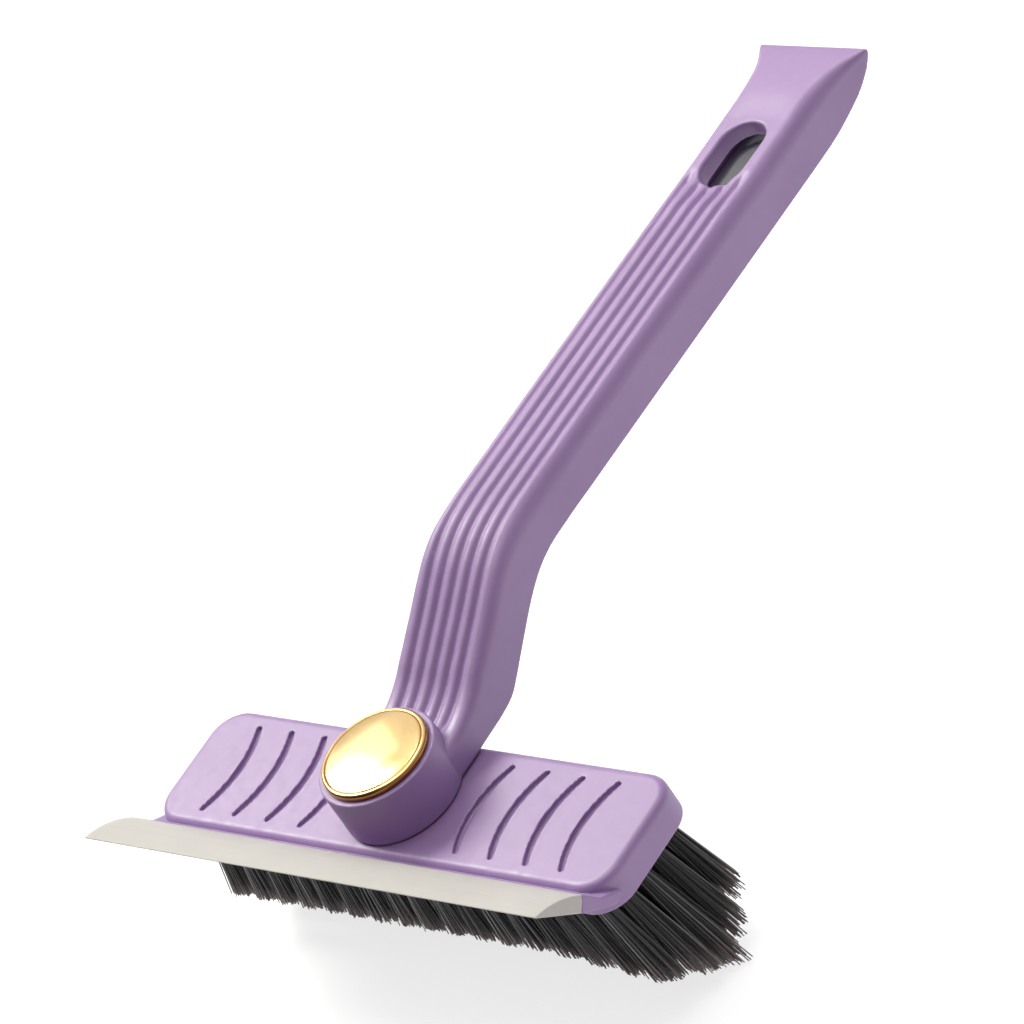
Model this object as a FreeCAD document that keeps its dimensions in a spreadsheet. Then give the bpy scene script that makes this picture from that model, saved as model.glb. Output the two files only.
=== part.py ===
import FreeCAD, Part
import math
import os

# Swivel-head crevice brush: a wide brush head with a squeegee blade, a cranked
# handle that turns on the head, a scraper tip and a pair of tongs stowed in the
# handle's back.  Frame: +Z up along the swivel axis, +Y along the handle, +X along
# the head; Z = 0 is the ridge of the bristles, on which the brush stands.

V = FreeCAD.Vector
doc = FreeCAD.newDocument("swivel_brush")

# ---------------------------------------------------------------- sizes (mm)
SIZES = [
    ("headLength", 145.0),      # along X
    ("headFront", 17.0),        # front face, far side of the pivot (+Y)
    ("headBladeSide", 16.6),    # front face, blade side (-Y)
    ("headThick", 9.0),
    ("headCorner", 8.5),
    ("headEdge", 2.3),          # rounding of the front edge
    ("faceZ", 43.0),            # front face above the bristle ridge
    ("faceWall", 3.2),
    ("rimWall", 2.4),
    ("bossRadius", 5.0),
    ("bossRise", 4.9),
    ("pilotRadius", 1.93),
    ("pilotDepth", 7.6),
    ("arcDepth", 1.0),
    ("arcHalfWidth", 0.85),
    ("arcRadius", 29.3),
    ("arcPitch", 10.9),
    ("arcFirst", 22.2),
    ("arcReach", 12.4),
    ("blockThick", 5.0),
    ("holeRadius", 1.6),
    ("holeDepth", 4.2),
    ("tuftPitch", 7.6),
    ("rowPitch", 6.0),
    ("tuftRoot", 1.5),
    ("tuftFlare", 0.045),       # growth of a tuft's radius per mm of length
    ("ridgeDepth", 43.0),       # ridge of the V trim below the front face
    ("eaveDepth", 31.5),        # outer rows below the front face
    ("eaveReach", 13.4),
    ("leanPlus", 26.0),         # degrees, end tuft on +X
    ("leanMinus", 9.0),        # degrees, end tuft on -X
    ("anchorLength", 2.8),
    ("anchorThick", 0.4),
    ("anchorDeep", 1.4),
    ("bladeLength", 145.0),
    ("screwRadius", 1.9),
    ("screwLength", 7.4),
    ("screwHead", 3.7),
    ("screwHeadHigh", 2.4),
    ("washerOuter", 9.0),
    ("washerInner", 2.2),
    ("washerThick", 0.8),
    ("waveOuter", 8.6),
    ("waveInner", 5.4),
    ("waveThick", 0.3),
    ("hubRadius", 15.1),
    ("hubGap", 0.35),
    ("hubTop", 13.8),
    ("hubRecess", 13.0),
    ("hubFloor", 4.5),
    ("hubBore", 5.05),
    ("capRadius", 13.65),
    ("capRim", 15.2),
    ("capDome", 16.4),
    ("handleHalf", 12.7),
    ("handleShoulder", 5.6),
    ("tipHalf", 17.05),
    ("slotHalf", 6.4),
    ("slotStraight", 4.3),
    ("slotCentre", 177.3),
    ("channelHalf", 10.15),
    ("channelRoof", 24.65),
    ("channelStart", 77.5),
    ("archCentre", 187.5),
    ("ribPitch", 4.05),
    ("ribGroove", 1.9),
    ("ribDepth", 0.9),
    ("tongsHalf", 9.8),
    ("tongsInner", 7.4),
    ("tongsBack", 16.95),
    ("tongsDeep", 5.45),
    ("tongsTip", 79.5),
]
sheet = doc.addObject("Spreadsheet::Sheet", "Sizes")
sheet.Label = "Sizes"
S = {}
for i, (name, value) in enumerate(SIZES):
    row = i + 1
    sheet.set("A%d" % row, name)
    sheet.set("B%d" % row, repr(float(value)))
    sheet.setAlias("B%d" % row, name)
    S[name] = float(value)
doc.recompute()
FZ = S["faceZ"]
NODES = []


def bind(obj, prop, expr):
    """Tie one property to the sheet; names in the expression are sheet aliases."""
    for name in sorted(S, key=len, reverse=True):
        expr = expr.replace("<" + name + ">", "Sizes." + name)
    obj.setExpression(prop, expr)


def keep(obj, label):
    obj.Label = label
    NODES.append(obj)
    return obj


def plane(body, role):
    for f in body.Origin.OriginFeatures:
        if f.Role == role:
            return f
    raise RuntimeError(role)


def body(name):
    return doc.addObject("PartDesign::Body", name)


def sketch_on(b, role, name, offset=0.0, expr=None):
    sk = b.newObject("Sketcher::SketchObject", name)
    sk.AttachmentSupport = [(plane(b, role), "")]
    sk.MapMode = "FlatFace"
    sk.AttachmentOffset = FreeCAD.Placement(V(0, 0, offset), FreeCAD.Rotation())
    if expr:
        bind(sk, "AttachmentOffset.Base.z", expr)
    return sk


def closed(sk, pts):
    """Closed run of straight lines and arcs: an entry ("arc", mid, end) is an arc."""
    n0 = sk.GeometryCount
    cur = pts[0]
    made = 0
    items = list(pts[1:]) + [pts[0]]
    for it in items:
        if isinstance(it[0], str):
            mid, end = it[1], it[2]
            arc = Part.Arc(V(cur[0], cur[1], 0), V(mid[0], mid[1], 0), V(end[0], end[1], 0))
            sk.addGeometry(arc, False)
            cur = end
            made += 1
        else:
            if math.hypot(it[0] - cur[0], it[1] - cur[1]) < 1e-7:
                continue
            sk.addGeometry(Part.LineSegment(V(cur[0], cur[1], 0), V(it[0], it[1], 0)), False)
            cur = it
            made += 1
    return n0, made


def add(b, kind, name, sk, **props):
    f = b.newObject(kind, name)
    f.Profile = sk
    for k, v in props.items():
        setattr(f, k, v)
    b.Tip = f
    return f


def cyl(name, radius, height, base, rexpr=None, hexpr=None, zexpr=None):
    c = doc.addObject("Part::Cylinder", name)
    c.Radius = radius
    c.Height = height
    c.Placement = FreeCAD.Placement(base, FreeCAD.Rotation())
    if rexpr:
        bind(c, "Radius", rexpr)
    if hexpr:
        bind(c, "Height", hexpr)
    if zexpr:
        bind(c, "Placement.Base.z", zexpr)
    return c


def feature(name, shape):
    f = doc.addObject("Part::Feature", name)
    f.Shape = shape
    f.Placement = FreeCAD.Placement()
    return f


# ------------------------------------------------------------- head shell
# Rounded plate with a softened front edge, a recess in the back for the bristle
# block, a flange along one long edge that holds the blade, a pivot boss and
# four bowed grooves on each side of the boss.
hx, yf, yb, rc = S["headLength"] / 2, S["headFront"], S["headBladeSide"], S["headCorner"]


def rounded(sk, x0, x1, y0, y1, r):
    k = r * (1 - math.sqrt(0.5))
    closed(sk, [
        (x0 + r, y0), (x1 - r, y0), ("arc", (x1 - k, y0 + k), (x1, y0 + r)),
        (x1, y1 - r), ("arc", (x1 - k, y1 - k), (x1 - r, y1)),
        (x0 + r, y1), ("arc", (x0 + k, y1 - k), (x0, y1 - r)),
        (x0, y0 + r), ("arc", (x0 + k, y0 + k), (x0 + r, y0))])


shell = body("head_shell_body")
sk = sketch_on(shell, "XY_Plane", "plate_outline", FZ, "<faceZ>")
rounded(sk, -hx, hx, -yb - 0.7, yf + 0.4, rc)
sk.addConstraint(__import__("Sketcher").Constraint("Radius", 1, rc))
bind(sk, "Constraints[0]", "<headCorner>")
plate = add(shell, "PartDesign::Pad", "plate", sk, Length=S["headThick"], Reversed=True)
bind(plate, "Length", "<headThick>")
doc.recompute()
names = []
for i, e in enumerate(plate.Shape.Edges):
    bb = e.BoundBox
    if abs(bb.ZMin - FZ) < 1e-4 and abs(bb.ZMax - FZ) < 1e-4:
        names.append("Edge%d" % (i + 1))
edge = shell.newObject("PartDesign::Fillet", "front_edge")
edge.Base = (plate, names)
edge.Radius = S["headEdge"]
bind(edge, "Radius", "<headEdge>")
shell.Tip = edge

# blade flange: rises at about 48 degrees from a crease below the front edge
FLANGE = [(-14.0, -2.9), (-16.5, -1.3), (-20.95, 4.0), (-23.75, 0.9), (-15.6, -6.2), (-14.0, -6.2)]
sk = sketch_on(shell, "YZ_Plane", "flange_profile")
closed(sk, [(y, w + FZ) for y, w in FLANGE])
flange = add(shell, "PartDesign::Pad", "flange", sk, Length=S["headLength"], Midplane=True)
bind(flange, "Length", "<headLength>")
sk = sketch_on(shell, "YZ_Plane", "tongue_slot_profile")
SLOT = [(-23.16, 1.63), (-21.54, 3.13), (-21.54 - 2.0, 3.13 + 2.16), (-23.16 - 2.0, 1.63 + 2.16)]
TIN = [(-19.76, -2.02), (-18.14, -0.52)]
closed(sk, [(SLOT[3][0], SLOT[3][1] + FZ), (TIN[0][0], TIN[0][1] + FZ), (TIN[1][0], TIN[1][1] + FZ),
            (SLOT[2][0], SLOT[2][1] + FZ)])
tslot = add(shell, "PartDesign::Pocket", "tongue_slot", sk, Length=S["headLength"] - 6, Midplane=True)
bind(tslot, "Length", "<headLength> - 6")

# recess for the bristle block, open at the back
rw = S["rimWall"]
sk = sketch_on(shell, "XY_Plane", "recess_outline", FZ - S["headThick"], "<faceZ> - <headThick>")
rounded(sk, -hx + rw, hx - rw, -yb - 0.7 + rw + 1.0, yf + 0.4 - rw, rc - rw)
rec = add(shell, "PartDesign::Pocket", "recess", sk, Length=S["headThick"] - S["faceWall"], Reversed=True)
bind(rec, "Length", "<headThick> - <faceWall>")

# pivot boss
sk = sketch_on(shell, "XY_Plane", "boss_outline", FZ - 1.0, "<faceZ> - 1")
sk.addGeometry(Part.Circle(V(0, 0, 0), V(0, 0, 1), S["bossRadius"]), False)
sk.addConstraint(__import__("Sketcher").Constraint("Radius", 0, S["bossRadius"]))
bind(sk, "Constraints[0]", "<bossRadius>")
boss = add(shell, "PartDesign::Pad", "boss", sk, Length=S["bossRise"] + 1)
bind(boss, "Length", "<bossRise> + 1")
sk = sketch_on(shell, "XY_Plane", "pilot_outline", FZ + S["bossRise"], "<faceZ> + <bossRise>")
sk.addGeometry(Part.Circle(V(0, 0, 0), V(0, 0, 1), S["pilotRadius"]), False)
sk.addConstraint(__import__("Sketcher").Constraint("Radius", 0, S["pilotRadius"]))
bind(sk, "Constraints[0]", "<pilotRadius>")
pilot = add(shell, "PartDesign::Pocket", "pilot_hole", sk, Length=S["pilotDepth"])
bind(pilot, "Length", "<pilotDepth>")

# bowed grooves, bulging towards the pivot
sk = sketch_on(shell, "XY_Plane", "bowed_grooves", FZ, "<faceZ>")
hw, rr, reach = S["arcHalfWidth"], S["arcRadius"], S["arcReach"]
half = math.asin(reach / rr)
for side in (1, -1):
    for k in range(4):
        cx = S["arcFirst"] + k * S["arcPitch"] + rr

        def at(r, a, cx=cx, side=side):
            return (side * (cx - r * math.cos(a)), r * math.sin(a))
        tip = half + hw / rr
        closed(sk, [at(rr + hw, -half), ("arc", at(rr + hw, 0), at(rr + hw, half)),
                    ("arc", at(rr, tip), at(rr - hw, half)),
                    ("arc", at(rr - hw, 0), at(rr - hw, -half)),
                    ("arc", at(rr, -tip), at(rr + hw, -half))])
arcs = add(shell, "PartDesign::Pocket", "bowed_grooves_cut", sk, Length=S["arcDepth"])
bind(arcs, "Length", "<arcDepth>")
keep(shell, "head_shell")
doc.recompute()

# ------------------------------------------------------- bristle field
# Five rows of tufts fan out along X and a little along Y; the free ends are
# trimmed to a V, so the middle row is the longest.
rows, tufts_per_row = 5, 17
depth0 = S["headThick"] - 0.6        # back face of the block below the front face
block_top = FZ - S["faceWall"] - 0.1
block = doc.addObject("Part::Box", "block_raw")
block.Length = S["headLength"] - 2 * rw - 0.2
block.Width = yf + 0.4 - rw - 0.1 - (-yb - 0.7 + rw + 1.0 + 0.1)
block.Height = S["blockThick"]
bind(block, "Height", "<blockThick>")
bind(block, "Length", "<headLength> - 2 * <rimWall> - 0.2")
block.Placement = FreeCAD.Placement(
    V(-hx + rw + 0.1, -yb - 0.7 + rw + 1.0 + 0.1, block_top - S["blockThick"]), FreeCAD.Rotation())
block_round = doc.addObject("Part::Fillet", "block_round")
doc.recompute()
sel = []
for i, e in enumerate(block.Shape.Edges):
    bb = e.BoundBox
    if bb.ZLength > 1 and bb.XLength < 1e-6 and bb.YLength < 1e-6:
        sel.append((i + 1, rc - rw, rc - rw))
block_round.Base = block
block_round.Edges = sel
block_back = block_top - S["blockThick"]


def tuft_axis(i, j):
    x = (i - (tufts_per_row - 1) / 2) * S["tuftPitch"]
    if j % 2 == 1:
        x += S["tuftPitch"] / 2 * 0.9 - S["tuftPitch"] * 0.45
    y = (j - (rows - 1) / 2) * S["rowPitch"]
    span = (tufts_per_row - 1) / 2 * S["tuftPitch"]
    f = x / span
    lean = (S["leanPlus"] if x > 0 else S["leanMinus"]) * math.copysign(abs(f) ** 1.15, f)
    side = 3.6 * (j - 2) / 2
    d = V(math.tan(math.radians(lean)), math.tan(math.radians(side)), -1.0)
    d.normalize()
    return V(x, y, block_back), d


holes = []
row_shapes, anchor_shapes = [], []
# wedge that trims the free ends
e_y, e_z, r_z = S["eaveReach"], FZ - S["eaveDepth"], FZ - S["ridgeDepth"]
slope = (e_z - r_z) / e_y
y_out = 26.0
roof = Part.Face(Part.makePolygon([
    V(0, 0, r_z), V(0, y_out, r_z + slope * y_out), V(0, y_out, FZ), V(0, -y_out, FZ),
    V(0, -y_out, r_z + slope * y_out), V(0, 0, r_z)])).extrude(V(240, 0, 0))
roof.translate(V(-120, 0, 0))
for j in range(rows):
    solids, clips = [], []
    for i in range(tufts_per_row):
        p, d = tuft_axis(i, j)
        deep = S["holeDepth"]
        holes.append(Part.makeCylinder(S["holeRadius"], deep + 1.0, p - d * deep, d))
        root = deep - S["anchorDeep"] - 0.05
        start = p - d * root
        length = 60.0
        stalk = Part.makeCylinder(S["tuftRoot"], root, start, d)
        fan = Part.makeCone(S["tuftRoot"], S["tuftRoot"] + S["tuftFlare"] * length, length, p, d)
        solids.append(stalk.fuse(fan).common(roof).removeSplitter())
        a = p - d * (deep - 0.02)
        clip = Part.makeBox(S["anchorLength"], S["anchorThick"], S["anchorDeep"] - 0.04,
                            V(-S["anchorLength"] / 2, -S["anchorThick"] / 2, 0))
        clip.Placement = FreeCAD.Placement(a, FreeCAD.Rotation(V(0, 0, 1), d))
        clips.append(clip)
    row_shapes.append(Part.makeCompound([s.Solids[0] for s in solids]))
    anchor_shapes.append(Part.makeCompound(clips))
drill = feature("tuft_holes", Part.makeCompound(holes))
bored = doc.addObject("Part::Cut", "bristle_block_cut")
bored.Base = block_round
bored.Tool = drill
keep(bored, "bristle_block")
for j in range(rows):
    keep(feature("tuft_row_%d_solid" % (j + 1), row_shapes[j]), "tuft_row_%d" % (j + 1))
for j in range(rows):
    keep(feature("tuft_anchor_%d_solid" % (j + 1), anchor_shapes[j]), "tuft_anchors_%d" % (j + 1))

# ------------------------------------------------------------- blade
# Rubber wiper: thick at the flange, curling forward and thinning to its edge.
g = 0.05
blade = body("squeegee_blade_body")
sk = sketch_on(blade, "YZ_Plane", "blade_profile")
sx, sy = -0.68 * g, 0.73 * g
tongue_back = (-23.16 + 0.73 * g, 1.63 + 0.68 * g)
tongue_front = (-21.54 - 0.73 * g, 3.13 - 0.68 * g)
tongue_bi = (TIN[0][0] + 0.73 * g + 2 * sx, TIN[0][1] + 0.68 * g + 2 * sy)
tongue_fi = (TIN[1][0] - 0.73 * g + 2 * sx, TIN[1][1] - 0.68 * g + 2 * sy)
BL = [(-20.95 + sx, 4.0 + sy), ("arc", (-27.3, 9.1), (-34.0, 11.8)), (-33.88, 11.3), (-23.75 + sx, 0.9 + sy)]
TG = [(tongue_front[0] + 6 * sx, tongue_front[1] + 6 * sy), (tongue_back[0] + 6 * sx, tongue_back[1] + 6 * sy),
      tongue_bi, tongue_fi]


def lift(item):
    if isinstance(item[0], str):
        return ("arc", (item[1][0], item[1][1] + FZ), (item[2][0], item[2][1] + FZ))
    return (item[0], item[1] + FZ)


closed(sk, [lift(p) for p in BL])
wiper = add(blade, "PartDesign::Pad", "blade_pad", sk, Length=S["bladeLength"], Midplane=True)
bind(wiper, "Length", "<bladeLength>")
sk = sketch_on(blade, "YZ_Plane", "tongue_profile")
closed(sk, [lift(p) for p in TG])
tongue = add(blade, "PartDesign::Pad", "tongue_pad", sk, Length=S["bladeLength"] - 6.4, Midplane=True)
bind(tongue, "Length", "<bladeLength> - 6.4")
keep(blade, "squeegee_blade")

# ------------------------------------------------------------- pivot hardware
top = FZ + S["bossRise"]
screw = body("pivot_screw_body")
sk = sketch_on(screw, "XZ_Plane", "screw_profile")
z0 = top + S["washerThick"] + 0.02
zh = z0 + S["screwHeadHigh"]
closed(sk, [(0, z0 - S["screwLength"] - S["washerThick"] + 0.6), (0.9, z0 - S["screwLength"] - S["washerThick"] + 0.6),
            (S["screwRadius"], z0 - S["screwLength"] - S["washerThick"] + 2.2), (S["screwRadius"], z0),
            (S["screwHead"], z0), (S["screwHead"], z0 + 1.0), ("arc", (S["screwHead"] - 0.55, zh - 0.5), (1.6, zh)),
            (1.6, zh - 1.1), (0, zh - 1.4)])
rev = screw.newObject("PartDesign::Revolution", "screw_turned")
rev.Profile = sk
rev.ReferenceAxis = (sk, ["V_Axis"])
rev.Angle = 360
screw.Tip = rev
keep(screw, "pivot_screw")


def ring(label, outer, inner, thick, z, oexpr, iexpr, texpr):
    a = cyl(label + "_disc", outer, thick, V(0, 0, z), oexpr, texpr)
    b = cyl(label + "_hole", inner, thick + 2, V(0, 0, z - 1), iexpr)
    c = doc.addObject("Part::Cut", label + "_cut")
    c.Base, c.Tool = a, b
    return keep(c, label)


ring("flat_washer", S["washerOuter"], S["washerInner"], S["washerThick"], top + 0.01,
     "<washerOuter>", "<washerInner>", "<washerThick> - 0.01")
ring("wave_washer", S["waveOuter"], S["waveInner"], S["waveThick"], FZ + S["hubFloor"] + 0.05,
     "<waveOuter>", "<waveInner>", "<waveThick>")

# ------------------------------------------------------------- handle
# (back y, back z, front y, front z, half width, shoulder radius) at each section,
# heights from the head's front face.  Root on the head, a rise at about 31
# degrees, a long grip parallel to the head and a thin flared scraper tip.
hh, sh = S["handleHalf"], S["handleShoulder"]
hr = hh + 0.65                       # half width where the limb leaves the hub
SECTIONS = [
    (6.0, 0.45, 6.0, 10.0, hr, 3.9),
    (14.0, 0.60, 13.0, 10.2, hr, 3.9),
    (21.0, 0.80, 18.8, 11.0, hr, 3.9),
    (26.6, 1.05, 23.4, 12.9, hr, 3.9),
    (31.0, 1.85, 26.8, 15.0, hr, 3.9),
    (35.1, 4.15, 29.6, 16.6, hr, 3.9),
    (39.3, 6.85, 33.0, 18.6, hr, 3.9),
    (43.8, 9.70, 37.0, 20.9, hr, 4.0),
    (48.8, 12.75, 42.4, 24.2, hr - 0.02, 4.4),
    (53.4, 15.10, 48.4, 27.6, hr - 0.08, 5.0),
    (57.3, 16.60, 53.8, 29.8, hr - 0.18, 5.6),
    (60.9, 17.45, 58.8, 30.9, hr - 0.28, 5.9),
    (64.5, 17.85, 63.6, 31.35, hr - 0.36, 5.9),
    (70.0, 17.90, 70.0, 31.5, hr - 0.46, sh),
    (80.0, 17.75, 80.0, 31.5, hr - 0.58, sh),
    (90.0, 17.60, 90.0, 31.5, hh, sh),
    (120.0, 17.30, 120.0, 31.45, hh, sh),
    (150.0, 17.05, 150.0, 31.35, hh, sh),
    (175.0, 16.85, 175.0, 31.25, hh, sh),
    (190.0, 16.80, 190.0, 31.1, hh, 5.2),
    (196.5, 16.95, 196.8, 30.9, hh + 0.05, 4.7),
    (201.5, 17.80, 202.2, 30.6, hh + 0.45, 4.0),
    (205.5, 19.00, 206.4, 30.2, hh + 1.05, 3.3),
    (208.6, 20.40, 209.4, 29.9, hh + 1.85, 2.7),
    (211.2, 22.50, 211.8, 29.6, hh + 2.85, 2.0),
    (213.4, 24.90, 213.7, 29.3, hh + 3.85, 1.2),
    (215.4, 27.70, 215.4, 28.9, S["tipHalf"], 0.35),
]


def refine(rows, gap):
    """Smoothly adds sections between the given ones, never further apart than gap."""
    t = [0.0]
    for a, b in zip(rows, rows[1:]):
        t.append(t[-1] + math.hypot((a[0] + a[2] - b[0] - b[2]) / 2, (a[1] + a[3] - b[1] - b[3]) / 2))
    out = []
    n = len(rows)
    for i in range(n - 1):
        h = t[i + 1] - t[i]
        count = max(1, int(math.ceil(h / gap)))
        for k in range(count):
            q = k / count
            row = []
            for c in range(6):
                d = (rows[i + 1][c] - rows[i][c]) / h
                if i > 0:
                    hp = t[i] - t[i - 1]
                    m0 = ((rows[i][c] - rows[i - 1][c]) / hp * h + d * hp) / (h + hp)
                else:
                    m0 = d
                if i < n - 2:
                    hn = t[i + 2] - t[i + 1]
                    m1 = (d * hn + (rows[i + 2][c] - rows[i + 1][c]) / hn * h) / (h + hn)
                else:
                    m1 = d
                row.append(rows[i][c] * (2 * q ** 3 - 3 * q ** 2 + 1) + m0 * h * (q ** 3 - 2 * q ** 2 + q)
                           + rows[i + 1][c] * (-2 * q ** 3 + 3 * q ** 2) + m1 * h * (q ** 3 - q ** 2))
            out.append(tuple(row))
    return out + [rows[-1]]


DENSE = refine(SECTIONS, 6.0)
sections = []
for n, (yb_, zb_, yf_, zf_, w_, r_) in enumerate(DENSE):
    base = V(0, yb_, zb_ + FZ)
    up = V(0, yf_ - yb_, zf_ - zb_)
    T = up.Length
    up.normalize()
    s = doc.addObject("Sketcher::SketchObject", "handle_section_%02d" % (n + 1))
    s.Placement = FreeCAD.Placement(base, FreeCAD.Rotation(V(1, 0, 0), up, V(1, 0, 0).cross(up), "XYZ"))
    k = r_ * (1 - math.sqrt(0.5))
    closed(s, [(-w_, 0), (w_, 0), (w_, T - r_), ("arc", (w_ - k, T - k), (w_ - r_, T)),
               (-w_ + r_, T), ("arc", (-w_ + k, T - k), (-w_, T - r_))])
    sections.append(s)
limb = doc.addObject("Part::Loft", "handle_limb")
limb.Sections = sections
limb.Solid = True
limb.Ruled = False

hub = cyl("hub_raw", S["hubRadius"], S["hubTop"] - S["hubGap"], V(0, 0, FZ + S["hubGap"]),
          "<hubRadius>", "<hubTop> - <hubGap>", "<faceZ> + <hubGap>")
raw = doc.addObject("Part::MultiFuse", "handle_raw")
raw.Shapes = [limb, hub]

recess = cyl("hub_recess", S["hubRecess"], 30, V(0, 0, FZ + S["hubFloor"]), "<hubRecess>", None, "<faceZ> + <hubFloor>")
bore = cyl("hub_bore", S["hubBore"], 12, V(0, 0, FZ - 2), "<hubBore>")


def prism(name, draw, z, height, zexpr, hexpr):
    """A PartDesign cutter: an outline on the XY plane padded upwards."""
    b = body(name + "_body")
    sk = sketch_on(b, "XY_Plane", name + "_outline", z, zexpr)
    draw(sk)
    p = add(b, "PartDesign::Pad", name + "_pad", sk, Length=height)
    if hexpr:
        bind(p, "Length", hexpr)
    return b


def stadium(sk, half, straight, cy):
    closed(sk, [(-half, cy - straight), ("arc", (0, cy - straight - half), (half, cy - straight)),
                (half, cy + straight), ("arc", (0, cy + straight + half), (-half, cy + straight))])


def channel_outline(sk):
    c, y0, ya, r = S["channelHalf"], S["channelStart"], S["archCentre"], 2.5
    q = r * (1 - math.sqrt(0.5))
    closed(sk, [(-c + r, y0), (c - r, y0), ("arc", (c - q, y0 + q), (c, y0 + r)), (c, ya),
                ("arc", (0, ya + c), (-c, ya)), (-c, y0 + r), ("arc", (-c + q, y0 + q), (-c + r, y0))])


channel = prism("channel", channel_outline, FZ + 10, S["channelRoof"] - 10, "<faceZ> + 10", "<channelRoof> - 10")
hang = prism("hanging_slot", lambda sk: stadium(sk, S["slotHalf"], S["slotStraight"], S["slotCentre"]),
             FZ + 20, 20, "<faceZ> + 20", None)

# grip grooves: a band that follows the handle's front, one per groove
front = [(8.0, 9.9)] + [(f, z) for (_, _, f, z, _, _) in SECTIONS[1:19] if f < 172.5]
front[-1] = (150.0, 31.35)
front += [(169.0, 31.28)]


def offset(points, d):
    out = []
    for i, p in enumerate(points):
        a = points[max(0, i - 1)]
        b = points[min(len(points) - 1, i + 1)]
        tx, ty = b[0] - a[0], b[1] - a[1]
        n = math.hypot(tx, ty)
        out.append((p[0] - ty / n * d, p[1] + tx / n * d))
    return out


inner, outer = offset(front, -S["ribDepth"]), offset(front, 3.0)
lower = Part.BSplineCurve()
lower.interpolate([V(0, y, z + FZ) for y, z in inner])
upper = Part.BSplineCurve()
upper.interpolate([V(0, y, z + FZ) for y, z in outer])
a0, a1 = V(0, inner[0][0], inner[0][1] + FZ), V(0, inner[-1][0], inner[-1][1] + FZ)
b0, b1 = V(0, outer[0][0], outer[0][1] + FZ), V(0, outer[-1][0], outer[-1][1] + FZ)
band = Part.Face(Part.Wire([lower.toShape(), Part.LineSegment(a1, b1).toShape(),
                            upper.toShape(), Part.LineSegment(b0, a0).toShape()]))
band_face = feature("groove_band", band)
cuts = []
for k in range(5):
    ex = doc.addObject("Part::Extrusion", "groove_%d" % (k + 1))
    ex.Base = band_face
    ex.DirMode = "Custom"
    ex.Dir = V(1, 0, 0)
    ex.Solid = True
    ex.Symmetric = True
    ex.LengthFwd = S["ribGroove"]
    bind(ex, "LengthFwd", "<ribGroove>")
    ex.Placement = FreeCAD.Placement(V((k - 2) * S["ribPitch"], 0, 0), FreeCAD.Rotation())
    bind(ex, "Placement.Base.x", "%d * <ribPitch>" % (k - 2))
    cuts.append(ex)
step1 = doc.addObject("Part::Cut", "handle_ribbed")
tools = doc.addObject("Part::MultiFuse", "handle_tools")
under = doc.addObject("Part::Box", "root_flat")
under.Length, under.Width, under.Height = 60, 80, 12
under.Placement = FreeCAD.Placement(V(-30, -30, FZ + S["hubGap"] - 12), FreeCAD.Rotation())
bind(under, "Placement.Base.z", "<faceZ> + <hubGap> - 12")
tools.Shapes = [recess, bore, channel, hang, under]
ribs = doc.addObject("Part::Compound", "groove_set")
ribs.Links = cuts
step1.Base = raw
step1.Tool = ribs
step2 = doc.addObject("Part::Cut", "handle_cut")
step2.Base = step1
step2.Tool = tools
keep(step2, "handle")

# ------------------------------------------------------------- cap
cap = body("hub_cap_body")
sk = sketch_on(cap, "XZ_Plane", "cap_profile")
R, zr, zd, ht = S["capRadius"], S["capRim"] + FZ, S["capDome"] + FZ, S["hubTop"] + FZ + 0.1
Ro = S["hubRecess"] - 0.05
yy = zr + 0.5
xr = R - 0.6
# one flat arc for the dome: circle through (0, zd) and (xr, yy)
rad = (xr * xr + (zd - yy) ** 2) / (2 * (zd - yy))
xm = xr / 2
zm = zd - rad + math.sqrt(rad * rad - xm * xm)
closed(sk, [(0, zd), ("arc", (xm, zm), (xr, yy)), ("arc", (R - 0.16, zr + 0.30), (R, zr)), (R, ht), (Ro, ht),
            (Ro, FZ + 10.5), (Ro - 1.2, FZ + 10.5), (Ro - 1.2, zr - 1.0), (0, zr - 1.0)])
rev = cap.newObject("PartDesign::Revolution", "cap_turned")
rev.Profile = sk
rev.ReferenceAxis = (sk, ["V_Axis"])
rev.Angle = 360
cap.Tip = rev
keep(cap, "hub_cap")

# ------------------------------------------------------------- tongs
to, ti = S["tongsHalf"], S["tongsInner"]
ac = S["archCentre"]
lo_c, hi_c = S["slotCentre"] - S["slotStraight"], S["slotCentre"] + S["slotStraight"]
tongs = body("tongs_body")
sk = sketch_on(tongs, "XY_Plane", "tongs_outline", FZ + S["tongsBack"], "<faceZ> + <tongsBack>")
rb = 9.3
yb_in = lo_c - math.sqrt(rb * rb - ti * ti)
tt = S["tongsTip"]
closed(sk, [(-to, 104), (-8.95, tt + 0.7), ("arc", (-8.3, tt), (-7.7, tt + 0.7)), (-ti, 104), (-ti, yb_in),
            ("arc", (0, lo_c - rb), (ti, yb_in)), (ti, 104), (7.7, tt + 0.7), ("arc", (8.3, tt), (8.95, tt + 0.7)),
            (to, 104), (to, ac), ("arc", (0, ac + to), (-to, ac))])
stadium(sk, ti, S["slotStraight"], S["slotCentre"])
rt = 9.1
yt = hi_c + math.sqrt(rt * rt - ti * ti)
closed(sk, [(-ti, yt), ("arc", (0, hi_c + rt), (ti, yt)), (ti, ac), ("arc", (0, ac + ti), (-ti, ac))])
tp = add(tongs, "PartDesign::Pad", "tongs_pad", sk, Length=S["tongsDeep"])
bind(tp, "Length", "<tongsDeep>")
keep(tongs, "tongs")

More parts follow.
